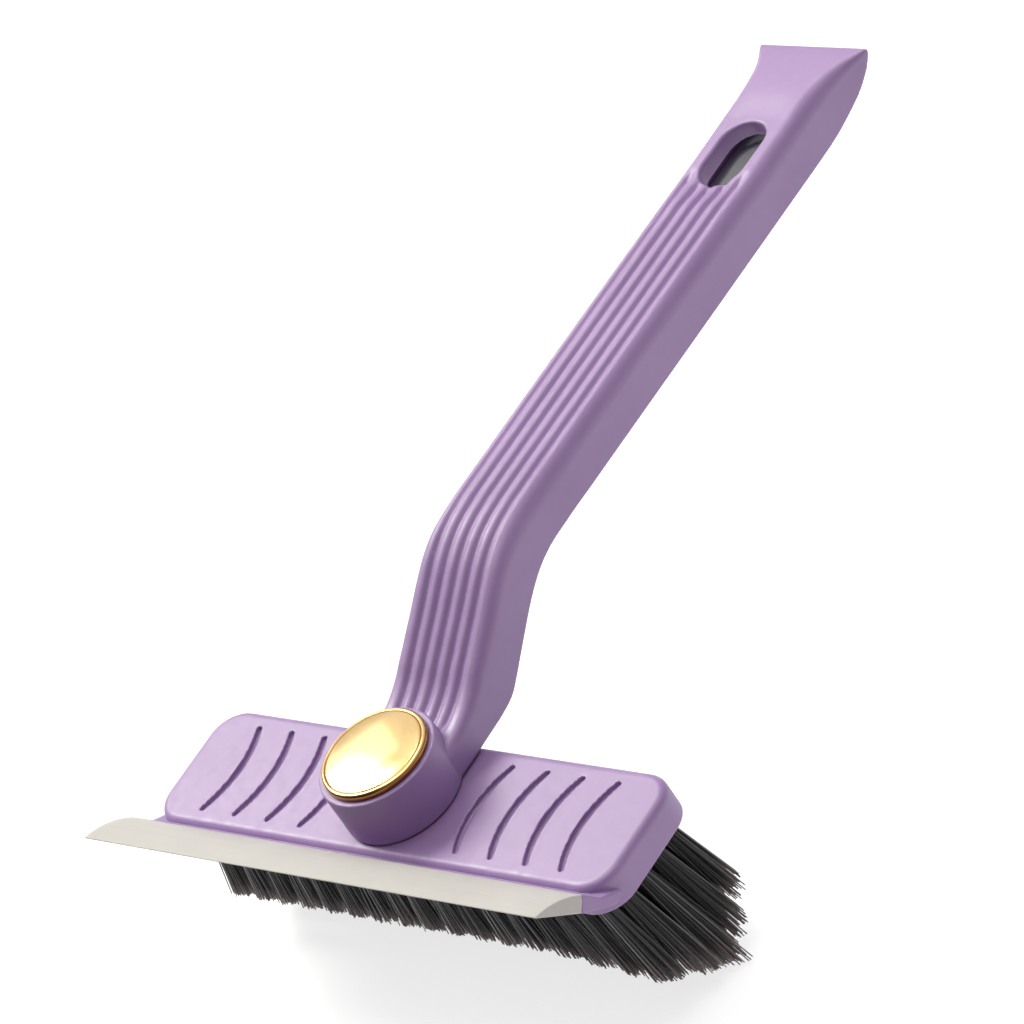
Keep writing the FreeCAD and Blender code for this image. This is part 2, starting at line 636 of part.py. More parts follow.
# ------------------------------------------------------------- write
doc.recompute()
bad = []
for o in doc.Objects:
    st = list(o.State)
    if "Invalid" in st or "Error" in st:
        bad.append((o.Name, st))
for o in NODES:
    sp = o.Shape
    if sp.isNull() or not sp.isValid() or not sp.Solids:
        bad.append((o.Label, "shape null, invalid or without solids"))
if bad:
    raise RuntimeError("failed objects: %s" % bad)
os.makedirs("parts", exist_ok=True)
for o in NODES:
    o.Shape.exportStep("parts/%s.step" % o.Label)
    bb = o.Shape.BoundBox
    print("%-18s solids %3d  volume %9.1f  box %7.2f %7.2f %7.2f .. %7.2f %7.2f %7.2f" % (
        o.Label, len(o.Shape.Solids), o.Shape.Volume, bb.XMin, bb.YMin, bb.ZMin, bb.XMax, bb.YMax, bb.ZMax))
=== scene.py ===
import math
import bpy
import bmesh
import numpy as np
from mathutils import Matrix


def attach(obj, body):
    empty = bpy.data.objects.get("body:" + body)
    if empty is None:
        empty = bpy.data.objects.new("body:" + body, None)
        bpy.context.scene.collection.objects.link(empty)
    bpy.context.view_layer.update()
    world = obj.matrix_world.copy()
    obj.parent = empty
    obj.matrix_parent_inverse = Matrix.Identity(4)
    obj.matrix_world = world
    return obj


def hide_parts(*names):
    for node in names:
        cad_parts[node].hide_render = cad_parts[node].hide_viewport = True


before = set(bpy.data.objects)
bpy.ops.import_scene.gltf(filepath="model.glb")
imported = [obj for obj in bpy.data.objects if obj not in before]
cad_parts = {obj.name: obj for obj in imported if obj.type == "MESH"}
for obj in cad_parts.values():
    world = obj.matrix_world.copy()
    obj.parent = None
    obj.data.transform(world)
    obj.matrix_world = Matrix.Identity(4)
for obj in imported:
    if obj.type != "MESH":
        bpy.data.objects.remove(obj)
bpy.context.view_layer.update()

import openvdb
from mathutils import Matrix, Vector

FZ = 43.0            # head's front face above the bristle ridge, mm
RNG = np.random.default_rng(551)
scene = bpy.context.scene


# ------------------------------------------------------------------ small helpers
def spline(xs, ys, x):
    """Smooth monotone-safe cubic (Catmull-Rom, non-uniform) through the points."""
    xs, ys, x = np.asarray(xs, float), np.asarray(ys, float), np.asarray(x, float)
    d = np.diff(ys) / np.diff(xs)
    m = np.empty_like(ys)
    m[0], m[-1] = d[0], d[-1]
    hl, hr = np.diff(xs)[:-1], np.diff(xs)[1:]
    m[1:-1] = (d[:-1] * hr + d[1:] * hl) / (hl + hr)
    i = np.clip(np.searchsorted(xs, x) - 1, 0, len(xs) - 2)
    h = xs[i + 1] - xs[i]
    t = np.clip((x - xs[i]) / h, 0, 1)
    a = ys[i] * (2 * t**3 - 3 * t**2 + 1) + m[i] * h * (t**3 - 2 * t**2 + t)
    b = ys[i + 1] * (-2 * t**3 + 3 * t**2) + m[i + 1] * h * (t**3 - t**2)
    return a + b


def smin(a, b, k):
    h = np.clip(0.5 + 0.5 * (b - a) / k, 0, 1)
    return b * (1 - h) + a * h - k * h * (1 - h)


def smax(a, b, k):
    return -smin(-a, -b, k)


def corner(a, b, r):
    """Intersection of two half-spaces a<0 and b<0 with the edge rounded by r."""
    qa, qb = a + r, b + r
    return np.sqrt(np.maximum(qa, 0) ** 2 + np.maximum(qb, 0) ** 2) + np.minimum(np.maximum(qa, qb), 0) - r


def rect2(x, y, x0, x1, y0, y1, r):
    cx, cy = (x0 + x1) / 2, (y0 + y1) / 2
    qx, qy = np.abs(x - cx) - (x1 - x0) / 2 + r, np.abs(y - cy) - (y1 - y0) / 2 + r
    return np.sqrt(np.maximum(qx, 0) ** 2 + np.maximum(qy, 0) ** 2) + np.minimum(np.maximum(qx, qy), 0) - r


def stadium(x, y, half, straight, cy):
    return np.sqrt(x * x + np.maximum(np.abs(y - cy) - straight, 0) ** 2) - half


def poly2(y, z, pts):
    """Signed distance to a closed polygon, negative inside."""
    pts = np.asarray(pts, float)
    d = np.full(np.broadcast(y, z).shape, 1e9)
    s = np.ones_like(d)
    n = len(pts)
    for i in range(n):
        a, b = pts[i], pts[(i + 1) % n]
        ex, ey = b - a
        wx, wy = y - a[0], z - a[1]
        t = np.clip((wx * ex + wy * ey) / (ex * ex + ey * ey), 0, 1)
        d = np.minimum(d, (wx - ex * t) ** 2 + (wy - ey * t) ** 2)
        c1 = (z >= a[1]) & (z < b[1]) & (ex * wy - ey * wx > 0)
        c2 = (z < a[1]) & (z >= b[1]) & (ex * wy - ey * wx < 0)
        s = np.where(c1 | c2, -s, s)
    return s * np.sqrt(d)


def open2(y, z, pts):
    """Signed distance to an open run of points, positive on its left."""
    pts = np.asarray(pts, float)
    best = np.full(np.broadcast(y, z).shape, 1e9)
    sign = np.ones_like(best)
    for i in range(len(pts) - 1):
        a, b = pts[i], pts[i + 1]
        ex, ey = b - a
        wx, wy = y - a[0], z - a[1]
        t = (wx * ex + wy * ey) / (ex * ex + ey * ey)
        if i == 0:
            t = np.minimum(t, 1)
        elif i == len(pts) - 2:
            t = np.maximum(t, 0)
        else:
            t = np.clip(t, 0, 1)
        dd = (wx - ex * t) ** 2 + (wy - ey * t) ** 2
        side = np.where(ex * wy - ey * wx >= 0, 1.0, -1.0)
        near = dd < best - 1e-9
        best = np.where(near, dd, best)
        sign = np.where(near, side, sign)
    return sign * np.sqrt(best)


def make_object(name, verts_mm, faces, smooth=True):
    me = bpy.data.meshes.new(name)
    v = np.asarray(verts_mm, np.float32) * 0.001
    me.from_pydata(v.tolist(), [], [tuple(int(i) for i in f) for f in faces])
    me.validate(verbose=False)
    if smooth:
        me.polygons.foreach_set("use_smooth", [True] * len(me.polygons))
    me.update()
    o = bpy.data.objects.new(name, me)
    scene.collection.objects.link(o)
    return o


def mesh_field(name, fn, lo, hi, step, adapt=0.0, refine=2):
    """Turns a signed distance function (mm, broadcasting) into a closed smooth mesh."""
    lo, hi = np.array(lo, float), np.array(hi, float)
    n = np.ceil((hi - lo) / step).astype(int) + 1
    xs = (lo[0] + step * np.arange(n[0]))[:, None, None]
    ys = (lo[1] + step * np.arange(n[1]))[None, :, None]
    zs = (lo[2] + step * np.arange(n[2]))[None, None, :]
    vol = np.empty(tuple(n), np.float32)
    slab = max(1, int(2.5e6 // (n[1] * n[2])))
    for i in range(0, n[0], slab):
        vol[i:i + slab] = np.clip(fn(xs[i:i + slab], ys, zs) / step, -3, 3)
    grid = openvdb.FloatGrid(3.0)
    grid.gridClass = openvdb.GridClass.LEVEL_SET
    grid.copyFromArray(vol, tolerance=0.0)
    if adapt > 0:
        pts, tris, quads = grid.convertToPolygons(isovalue=0.0, adaptivity=adapt)
    else:
        pts, quads = grid.convertToQuads(isovalue=0.0)
        tris = np.zeros((0, 3), np.uint32)
    p = pts.astype(float) * step + lo
    e = 0.02
    for _ in range(refine):
        f = fn(p[:, 0], p[:, 1], p[:, 2])
        gx = fn(p[:, 0] + e, p[:, 1], p[:, 2]) - fn(p[:, 0] - e, p[:, 1], p[:, 2])
        gy = fn(p[:, 0], p[:, 1] + e, p[:, 2]) - fn(p[:, 0], p[:, 1] - e, p[:, 2])
        gz = fn(p[:, 0], p[:, 1], p[:, 2] + e) - fn(p[:, 0], p[:, 1], p[:, 2] - e)
        g = np.stack([gx, gy, gz], 1) / (2 * e)
        m = (g * g).sum(1)
        step_len = np.where(m > 0.2, f / np.maximum(m, 0.2), 0)
        step_len = np.clip(step_len, -0.4 * step, 0.4 * step)
        p = p - g * step_len[:, None]
    faces = [tuple(reversed([int(i) for i in q])) for q in quads] + [tuple(reversed([int(i) for i in t])) for t in tris]
    o = make_object(name, p, faces)
    bm = bmesh.new()
    bm.from_mesh(o.data)
    if bm.calc_volume(signed=True) < 0:
        bmesh.ops.reverse_faces(bm, faces=bm.faces)
    bm.to_mesh(o.data)
    bm.free()
    # shading normals straight from the field, so the facets never show
    e = 0.12
    nrm = np.stack([fn(p[:, 0] + e, p[:, 1], p[:, 2]) - fn(p[:, 0] - e, p[:, 1], p[:, 2]),
                    fn(p[:, 0], p[:, 1] + e, p[:, 2]) - fn(p[:, 0], p[:, 1] - e, p[:, 2]),
                    fn(p[:, 0], p[:, 1], p[:, 2] + e) - fn(p[:, 0], p[:, 1], p[:, 2] - e)], 1)
    nrm /= np.maximum(np.linalg.norm(nrm, axis=1), 1e-9)[:, None]
    if len(o.data.vertices) == len(p):
        own = np.empty(len(p) * 3, np.float32)
        o.data.vertex_normals.foreach_get("vector", own)
        own = own.reshape(-1, 3)
        bad = (own * nrm).sum(1) < 0.75
        nrm[bad] = own[bad]
        o.data.normals_split_custom_set_from_vertices(nrm.tolist())
    return o


# ------------------------------------------------------------------ materials
def node(nt, kind, **inputs):
    n = nt.nodes.new(kind)
    for k, v in inputs.items():
        n.inputs[k].default_value = v
    return n


def material(name):
    m = bpy.data.materials.new(name)
    m.use_nodes = True
    nt = m.node_tree
    bsdf = nt.nodes["Principled BSDF"]
    return m, nt, bsdf


def rgb(r, g, b):
    """sRGB 0-255 to linear."""
    out = []
    for c in (r, g, b):
        c /= 255.0
        out.append(c / 12.92 if c <= 0.04045 else ((c + 0.055) / 1.055) ** 2.4)
    return (*out, 1.0)


def noise(nt, scale, detail=3.0, rough=0.5, vec=None):
    n = node(nt, "ShaderNodeTexNoise", Scale=scale, Detail=detail, Roughness=rough)
    if vec is None:
        tc = nt.nodes.new("ShaderNodeTexCoord")
        vec = tc.outputs["Object"]
    nt.links.new(vec, n.inputs["Vector"])
    return n


def ramp(nt, fac, stops):
    r = nt.nodes.new("ShaderNodeValToRGB")
    while len(r.color_ramp.elements) < len(stops):
        r.color_ramp.elements.new(0.5)
    for e, (p, c) in zip(r.color_ramp.elements, stops):
        e.position = p
        e.color = c if len(c) == 4 else (*c, 1)
    nt.links.new(fac, r.inputs["Fac"])
    return r


def maprange(nt, val, a, b, c, d):
    m = node(nt, "ShaderNodeMapRange")
    m.inputs["From Min"].default_value = a
    m.inputs["From Max"].default_value = b
    m.inputs["To Min"].default_value = c
    m.inputs["To Max"].default_value = d
    nt.links.new(val, m.inputs["Value"])
    return m


def bump(nt, height, strength, distance, base=None):
    b = node(nt, "ShaderNodeBump", Strength=strength, Distance=distance)
    nt.links.new(height, b.inputs["Height"])
    if base is not None:
        nt.links.new(base, b.inputs["Normal"])
    return b


def moulded(name, light, mid, dark, rough, grain=0.35, sub=0.06, edge_wear_and_highlight=0.25):
    """Moulded satin plastic: faint flow marks, fine spark-eroded grain, edges lightened partly as wear and partly as
    painted highlight.
    """
    m, nt, b = material(name)
    big = noise(nt, 38.0, 4.0, 0.55)
    cr = ramp(nt, big.outputs["Fac"], [(0.25, dark), (0.5, mid), (0.78, light)])
    geo = nt.nodes.new("ShaderNodeNewGeometry")
    # convex edges lightened by pointiness: part wear, part painted edge highlight
    edge = maprange(nt, geo.outputs["Pointiness"], 0.545, 0.62, 0.0, edge_wear_and_highlight)
    mix = nt.nodes.new("ShaderNodeMix")
    mix.data_type = "RGBA"
    nt.links.new(edge.outputs["Result"], mix.inputs["Factor"])
    nt.links.new(cr.outputs["Color"], mix.inputs[6])
    mix.inputs[7].default_value = tuple(min(1.0, c * 1.22 + 0.03) for c in light[:3]) + (1.0,)
    nt.links.new(mix.outputs[2], b.inputs["Base Color"])
    fine = noise(nt, 2600.0, 2.0, 0.5)
    mid_n = noise(nt, 420.0, 3.0, 0.6)
    rr = maprange(nt, mid_n.outputs["Fac"], 0.3, 0.7, rough - 0.05, rough + 0.07)
    nt.links.new(rr.outputs["Result"], b.inputs["Roughness"])
    b1 = bump(nt, mid_n.outputs["Fac"], 0.10, 0.00006)
    b2 = bump(nt, fine.outputs["Fac"], grain, 0.00003, b1.outputs["Normal"])
    nt.links.new(b2.outputs["Normal"], b.inputs["Normal"])
    b.inputs["Subsurface Weight"].default_value = sub
    b.inputs["Subsurface Radius"].default_value = (0.8, 0.5, 0.9)
    b.inputs["Subsurface Scale"].default_value = 0.0015
    b.inputs["Specular IOR Level"].default_value = 0.65
    return m


M_LILAC = moulded("lilac_plastic", rgb(150, 121, 167), rgb(146, 117, 164), rgb(141, 112, 159), 0.45)
# tongs' grey painted darker than their real light grey: painted shade for their place deep in the slot
M_GREY_PAINTED_SHADE = moulded("grey_plastic", rgb(134, 135, 138), rgb(128, 129, 132), rgb(121, 122, 125), 0.42, sub=0.03)
M_BLOCK = moulded("block_plastic", rgb(34, 32, 36), rgb(28, 27, 30), rgb(22, 21, 24), 0.5, sub=0.0, edge_wear_and_highlight=0.1)


def rubber():
    m, nt, b = material("wiper_rubber")
    big = noise(nt, 30.0, 4.0, 0.6)
    tc = nt.nodes.new("ShaderNodeTexCoord")
    mp = node(nt, "ShaderNodeMapping")
    mp.inputs["Scale"].default_value = (1.0, 60.0, 60.0)
    nt.links.new(tc.outputs["Object"], mp.inputs["Vector"])
    streak = noise(nt, 14.0, 3.0, 0.6, mp.outputs["Vector"])
    cr = ramp(nt, big.outputs["Fac"], [(0.25, rgb(178, 173, 170)), (0.55, rgb(184, 179, 177)), (0.8, rgb(189, 184, 182))])
    mix = nt.nodes.new("ShaderNodeMix")
    mix.data_type = "RGBA"
    f = maprange(nt, streak.outputs["Fac"], 0.42, 0.75, 0.0, 0.16)
    nt.links.new(f.outputs["Result"], mix.inputs["Factor"])
    nt.links.new(cr.outputs["Color"], mix.inputs[6])
    mix.inputs[7].default_value = rgb(173, 169, 165)
    nt.links.new(mix.outputs[2], b.inputs["Base Color"])
    rr = maprange(nt, streak.outputs["Fac"], 0.3, 0.7, 0.46, 0.6)
    nt.links.new(rr.outputs["Result"], b.inputs["Roughness"])
    fine = noise(nt, 1500.0, 2.0, 0.6)
    b1 = bump(nt, streak.outputs["Fac"], 0.06, 0.00006)
    b2 = bump(nt, fine.outputs["Fac"], 0.25, 0.00003, b1.outputs["Normal"])
    nt.links.new(b2.outputs["Normal"], b.inputs["Normal"])
    b.inputs["Subsurface Weight"].default_value = 0.12
    b.inputs["Subsurface Radius"].default_value = (1.0, 0.8, 0.6)
    b.inputs["Subsurface Scale"].default_value = 0.002
    b.inputs["Specular IOR Level"].default_value = 0.35
    return m


def gold():
    m, nt, b = material("gold_plating")
    cloud = noise(nt, 55.0, 3.0, 0.5)
    cr = ramp(nt, cloud.outputs["Fac"], [(0.2, (0.80, 0.555, 0.225)), (0.55, (0.84, 0.595, 0.255)), (0.85, (0.87, 0.63, 0.29))])
    b.inputs["Metallic"].default_value = 1.0
    tc = nt.nodes.new("ShaderNodeTexCoord")
    sep = nt.nodes.new("ShaderNodeSeparateXYZ")
    nt.links.new(tc.outputs["Object"], sep.inputs["Vector"])
    flat = nt.nodes.new("ShaderNodeCombineXYZ")
    nt.links.new(sep.outputs["X"], flat.inputs["X"])
    nt.links.new(sep.outputs["Y"], flat.inputs["Y"])
    dist = nt.nodes.new("ShaderNodeVectorMath")
    dist.operation = "LENGTH"
    nt.links.new(flat.outputs["Vector"], dist.inputs[0])
    # painted dark reflection: darker rings at the rim groove and the cap's outer edge stand in for the dark
    # surroundings mirrored there
    rim_painted_reflection = ramp(nt, maprange(nt, dist.outputs["Value"], 0.0118, 0.0138, 0.0, 1.0).outputs["Result"],
               [(0.0, (1, 1, 1)), (0.20, (0.80, 0.66, 0.50)), (0.34, (0.30, 0.15, 0.08)), (0.44, (0.55, 0.38, 0.22)),
                (0.56, (1, 1, 1)), (0.80, (0.95, 0.85, 0.7)), (0.90, (0.42, 0.24, 0.13))])
    tint = nt.nodes.new("ShaderNodeMix")
    tint.data_type = "RGBA"
    tint.blend_type = "MULTIPLY"
    tint.inputs["Factor"].default_value = 1.0
    nt.links.new(cr.outputs["Color"], tint.inputs[6])
    nt.links.new(rim_painted_reflection.outputs["Color"], tint.inputs[7])
    nt.links.new(tint.outputs[2], b.inputs["Base Color"])
    wave = node(nt, "ShaderNodeTexNoise", Scale=260.0, Detail=4.0, Roughness=0.6)
    nt.links.new(tc.outputs["Object"], wave.inputs["Vector"])
    rr = maprange(nt, wave.outputs["Fac"], 0.3, 0.75, 0.11, 0.17)
    nt.links.new(rr.outputs["Result"], b.inputs["Roughness"])
    b1 = bump(nt, cloud.outputs["Fac"], 0.05, 0.0002)
    b2 = bump(nt, wave.outputs["Fac"], 0.03, 0.00004, b1.outputs["Normal"])
    nt.links.new(b2.outputs["Normal"], b.inputs["Normal"])
    b.inputs["Coat Weight"].default_value = 0.35
    b.inputs["Coat Roughness"].default_value = 0.04
    return m


def bristle():
    m, nt, b = material("black_bristle")
    geo = nt.nodes.new("ShaderNodeNewGeometry")
    at = nt.nodes.new("ShaderNodeAttribute")
    at.attribute_name = "tip"
    base = ramp(nt, geo.outputs["Random Per Island"], [
        (0.0, (0.022, 0.022, 0.025)), (0.45, (0.040, 0.039, 0.043)), (0.74, (0.080, 0.078, 0.083)),
        (0.90, (0.14, 0.137, 0.142)), (1.0, (0.30, 0.29, 0.29))])
    tipc = ramp(nt, geo.outputs["Random Per Island"], [(0.0, (0.045, 0.031, 0.031)), (0.6, (0.095, 0.064, 0.062)), (1.0, (0.28, 0.21, 0.20))])
    mix = nt.nodes.new("ShaderNodeMix")
    mix.data_type = "RGBA"
    f = maprange(nt, at.outputs["Fac"], 0.72, 1.0, 0.0, 0.85)
    nt.links.new(f.outputs["Result"], mix.inputs["Factor"])
    nt.links.new(base.outputs["Color"], mix.inputs[6])
    nt.links.new(tipc.outputs["Color"], mix.inputs[7])
    nt.links.new(mix.outputs[2], b.inputs["Base Color"])
    rr = maprange(nt, geo.outputs["Random Per Island"], 0.0, 1.0, 0.34, 0.5)
    nt.links.new(rr.outputs["Result"], b.inputs["Roughness"])
    fine = noise(nt, 1200.0, 2.0, 0.5)
    b1 = bump(nt, fine.outputs["Fac"], 0.2, 0.00003)
    nt.links.new(b1.outputs["Normal"], b.inputs["Normal"])
    b.inputs["Specular IOR Level"].default_value = 0.5
    return m


def steel(name, lightc, darkc, rough, turned=True):
    m, nt, b = material(name)
    tc = nt.nodes.new("ShaderNodeTexCoord")
    mp = node(nt, "ShaderNodeMapping")
    mp.inputs["Scale"].default_value = (1.0, 1.0, 25.0) if turned else (40.0, 1.0, 1.0)
    nt.links.new(tc.outputs["Object"], mp.inputs["Vector"])
    s = noise(nt, 320.0, 4.0, 0.6, mp.outputs["Vector"])
    cr = ramp(nt, s.outputs["Fac"], [(0.3, darkc), (0.7, lightc)])
    nt.links.new(cr.outputs["Color"], b.inputs["Base Color"])
    b.inputs["Metallic"].default_value = 1.0
    rr = maprange(nt, s.outputs["Fac"], 0.3, 0.7, rough - 0.06, rough + 0.08)
    nt.links.new(rr.outputs["Result"], b.inputs["Roughness"])
    b1 = bump(nt, s.outputs["Fac"], 0.15, 0.00003)
    nt.links.new(b1.outputs["Normal"], b.inputs["Normal"])
    return m


M_RUBBER, M_GOLD, M_BRISTLE = rubber(), gold(), bristle()
M_ZINC = steel("zinc_steel", (0.62, 0.63, 0.65), (0.50, 0.51, 0.54), 0.32)
M_SPRING = steel("spring_steel", (0.42, 0.42, 0.44), (0.30, 0.30, 0.33), 0.3)
M_WIRE = steel("anchor_wire", (0.56, 0.56, 0.57), (0.42, 0.42, 0.44), 0.35, False)


def finish(o, mat, body, slot, *nodes):
    o.data.materials.clear()
    o.data.materials.append(mat)
    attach(o, body)
    if nodes:
        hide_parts(*nodes)
    return o


# ------------------------------------------------------------------ handle
# (back y, back z, front y, front z), heights from the head's front face, in mm:
# root, rise, long grip and flared scraper tip
SECT = np.array([
    (2.0, 0.45, 2.0, 8.6),
    (14.0, 0.60, 13.0, 9.3),
    (21.0, 0.80, 18.8, 10.8),
    (26.6, 1.05, 23.4, 12.9),
    (31.0, 1.85, 26.8, 15.0),
    (35.1, 4.15, 29.6, 16.6),
    (39.3, 6.85, 33.0, 18.6),
    (43.8, 9.70, 37.0, 20.9),
    (48.8, 12.75, 42.4, 24.2),
    (53.4, 15.10, 48.4, 27.6),
    (57.3, 16.60, 53.8, 29.8),
    (60.9, 17.45, 58.8, 30.9),
    (64.5, 17.85, 63.6, 31.35),
    (70.0, 17.90, 70.0, 31.5),
    (80.0, 17.75, 80.0, 31.5),
    (90.0, 17.60, 90.0, 31.5),
    (120.0, 17.30, 120.0, 31.45),
    (150.0, 17.05, 150.0, 31.35),
    (175.0, 16.85, 175.0, 31.25),
    (190.0, 16.80, 190.0, 31.1),
    (196.5, 16.95, 196.8, 30.9),
    (201.5, 17.80, 202.2, 30.6),
    (205.5, 19.00, 206.4, 30.2),
    (208.6, 20.40, 209.4, 29.9),
    (211.2, 22.50, 211.8, 29.6),
    (213.4, 24.90, 213.7, 29.3),
    (215.4, 27.70, 215.4, 28.9)])


def run(cols):
    p = SECT[:, cols]
    s = np.concatenate([[0], np.cumsum(np.hypot(*np.diff(p, axis=0).T))])
    q = np.linspace(0, s[-1], 420)
    return np.stack([spline(s, p[:, 0], q), spline(s, p[:, 1], q)], 1)


BACK, FRONT = run([0, 1]), run([2, 3])
# the side profile's distances on a fine plane grid, then read by interpolation
GY0, GZ0, GS = -22.0, -6.0, 0.2
gy = GY0 + GS * np.arange(int((222.0 - GY0) / GS) + 1)
gz = GZ0 + GS * np.arange(int((38.0 - GZ0) / GS) + 1)
GYY, GZZ = np.meshgrid(gy, gz, indexing="ij")


def near_run(pts):
    out = np.full(GYY.shape, 50.0)
    ref = pts[::3]
    if not np.allclose(ref[-1], pts[-1]):
        ref = np.vstack([ref, pts[-1]])
    for j0 in range(0, GYY.shape[0], 120):
        yy, zz = GYY[j0:j0 + 120], GZZ[j0:j0 + 120]
        lo, hi = yy.min() - 40, yy.max() + 40
        keep = np.where((ref[:, 0] > lo) & (ref[:, 0] < hi))[0]
        if len(keep) < 2:
            keep = np.array([0, 1]) if lo < ref[0, 0] else np.array([len(ref) - 2, len(ref) - 1])
        a = max(0, keep[0] - 1)
        b = min(len(ref), keep[-1] + 2)
        out[j0:j0 + 120] = open2(yy, zz, ref[a:b])
    return out


D_FRONT = near_run(FRONT)             # positive in front of the handle
D_BACK = -near_run(BACK)              # positive behind it
HALF_Y = np.linspace(-30, 230, 1041)
HALF_W = spline([-31, 30, 46, 53, 60, 70, 80, 90, 150, 190, 196.6, 202, 206, 209, 211.5, 213.6, 215.4, 231],
                [13.35, 13.35, 13.34, 13.25, 13.07, 12.89, 12.77, 12.7, 12.7, 12.7, 12.75, 13.15, 13.75,
                 14.55, 15.55, 16.5, 17.05, 22.0], HALF_Y)
HALF_R = spline([-31, 12, 28, 44, 50, 55, 60, 68, 90, 120, 150, 178, 190, 196.8, 202.2, 206.4, 209.4, 211.8, 213.7, 215.4, 231],
                [2.4, 2.4, 3.1, 3.5, 3.9, 4.5, 5.0, 5.1, 4.9, 4.9, 5.2, 5.3, 5.0, 4.6, 4.0, 3.3, 2.7, 2.0, 1.2,
                 0.35, 0.3], HALF_Y)
HALF_S = np.gradient(HALF_W, HALF_Y)


def table(y, z, grid):
    fy = np.clip((y - GY0) / GS, 0, grid.shape[0] - 1.001)
    fz = np.clip((z - GZ0) / GS, 0, grid.shape[1] - 1.001)
    i, j = fy.astype(int), fz.astype(int)
    a, b = fy - i, fz - j
    return (grid[i, j] * (1 - a) * (1 - b) + grid[i + 1, j] * a * (1 - b)
            + grid[i, j + 1] * (1 - a) * b + grid[i + 1, j + 1] * a * b)


RIB_X = np.array([-8.1, -4.05, 0.0, 4.05, 8.1])


def handle_field(x, y, z):
    z = z - FZ
    df, db = table(y, z, D_FRONT), table(y, z, D_BACK)
    w = np.interp(y, HALF_Y, HALF_W)
    r = np.interp(y, HALF_Y, HALF_R)
    sl = np.interp(y, HALF_Y, HALF_S)
    dx = (np.abs(x) - w) / np.sqrt(1 + sl * sl)
    # the front is a little hollow round the hanging slot
    ease = np.clip((12.0 - np.abs(x)) / 7.0, 0, 1) * np.clip((y - 158.0) / 9.0, 0, 1) * np.clip((199.0 - y) / 10.0, 0, 1)
    df = df + 0.8 * ease * ease * (3 - 2 * ease)
    d = corner(dx, df, r)
    d = corner(d, db, 0.5)
    d = corner(d, y - 215.38, 0.3)
    d = np.maximum(d, 3.0 - y)
    # soft grooves along the grip, fading out under the hub and round the slot
    fade = np.clip((y - 11.0) / 5.0, 0, 1)
    ax = np.abs(x)
    end = 169.0 + 0.4 * ax
    fade = fade * np.clip((end - y) / 5.0, 0, 1)
    fade = fade * fade * (3 - 2 * fade)
    groove = 0.0
    for gx in RIB_X:
        groove = groove + np.exp(-((x - gx) / 1.0) ** 2)
    d = d + 1.08 * groove * fade * np.clip((df + 7.5) / 3.0, 0, 1)
    # hub: slightly tapered drum with a softened rim
    rad = np.sqrt(x * x + y * y)
    hub = corner(rad - (15.1 - 0.008 * z), z - 13.8, 0.45)
    hub = corner(hub, 0.35 - z, 0.3)
    d = smin(d, hub, 0.12)
    # pocket for the cap and the pivot hardware
    d = smax(d, -np.maximum(rad - 13.05, 4.5 - z), 0.15)
    d = smax(d, 5.06 - rad, 0.1)
    # hanging slot with a generously rounded rim
    d = corner(d, -stadium(x, y, 6.4, 4.3, 177.3), 0.8)
    # open channel in the back for the tongs
    plan = np.where(y > 187.5, np.sqrt(x * x + (y - 187.5) ** 2) - 10.15,
                    rect2(x, y, -10.15, 10.15, 77.5, 210.0, 2.5))
    ch = corner(plan, z - 24.65, 0.7)
    d = smax(d, -ch, 0.3)
    # clearance above the tongs' ring
    return smax(d, -corner(stadium(x, y, 8.7, 4.3, 177.3), z - 26.0, 0.4), 0.25)


handle = mesh_field("handle_shell", handle_field, (-18.6, -16.6, FZ - 0.9), (18.6, 216.9, FZ + 32.8), 0.48)
finish(handle, M_LILAC, "handle", "lilac_plastic", "handle")


# ------------------------------------------------------------------ head shell
FLANGE = [(-12.0, -4.4), (-17.3, -1.35), (-20.95, 4.0), (-23.75, 0.9), (-15.2, -6.5), (-12.0, -6.5)]
SLOT = [(-19.76, -2.02), (-18.14, -0.52), (-23.54, 5.29), (-25.16, 3.79)]
ARC_R, ARC_FIRST, ARC_PITCH, ARC_REACH = 29.3, 22.2, 10.9, 12.4


def head_field(x, y, z):
    z = z - FZ
    plan = rect2(x, y, -72.5, 72.5, -17.3, 17.4, 8.5)
    d = corner(plan, z, 2.1)
    d = corner(d, -9.0 - z, 0.45)
    soft = np.clip((y + 20.6) / 4.5, 0, 1)
    fl = corner(poly2(y, z, FLANGE), np.abs(x) - 72.5, 0.25 + 0.55 * soft * soft)
    d = smin(d, fl, 0.2)
    d = np.maximum(d, -np.maximum(poly2(y, z, SLOT), np.abs(x) - 69.5))
    # recess for the bristle block
    rec = corner(rect2(x, y, -70.1, 70.1, -13.9, 15.0, 6.1), z + 3.2, 0.3)
    d = smax(d, -rec, 0.25)
    # pivot boss and its pilot hole
    rad = np.sqrt(x * x + y * y)
    d = smin(d, corner(rad - 5.0, z - 4.9, 0.25), 0.15)
    d = np.maximum(d, -np.maximum(rad - 1.93, -2.7 - z))
    # bowed grooves, narrowing to their ends
    ax = np.abs(x)
    best = 1e9
    half = math.asin(ARC_REACH / ARC_R)
    for k in range(4):
        cx = ARC_FIRST + k * ARC_PITCH + ARC_R
        ang = np.arctan2(y, cx - ax)
        rr = np.sqrt((cx - ax) ** 2 + y * y)
        ca = np.clip(ang, -half, half)
        px, py = cx - ARC_R * np.cos(ca), ARC_R * np.sin(ca)
        dist = np.sqrt((ax - px) ** 2 + (y - py) ** 2)
        wid = 1.0 - 0.25 * (np.abs(ca) / half) ** 3
        best = np.minimum(best, dist - wid)
    groove = corner(best, -1.15 - z, 0.25)
    return smax(d, -groove, 0.16)


head = mesh_field("head_plate", head_field, (-74.0, -25.2, FZ - 9.9), (74.0, 18.9, FZ + 5.9), 0.46)
finish(head, M_LILAC, "head", "lilac_plastic", "head_shell")


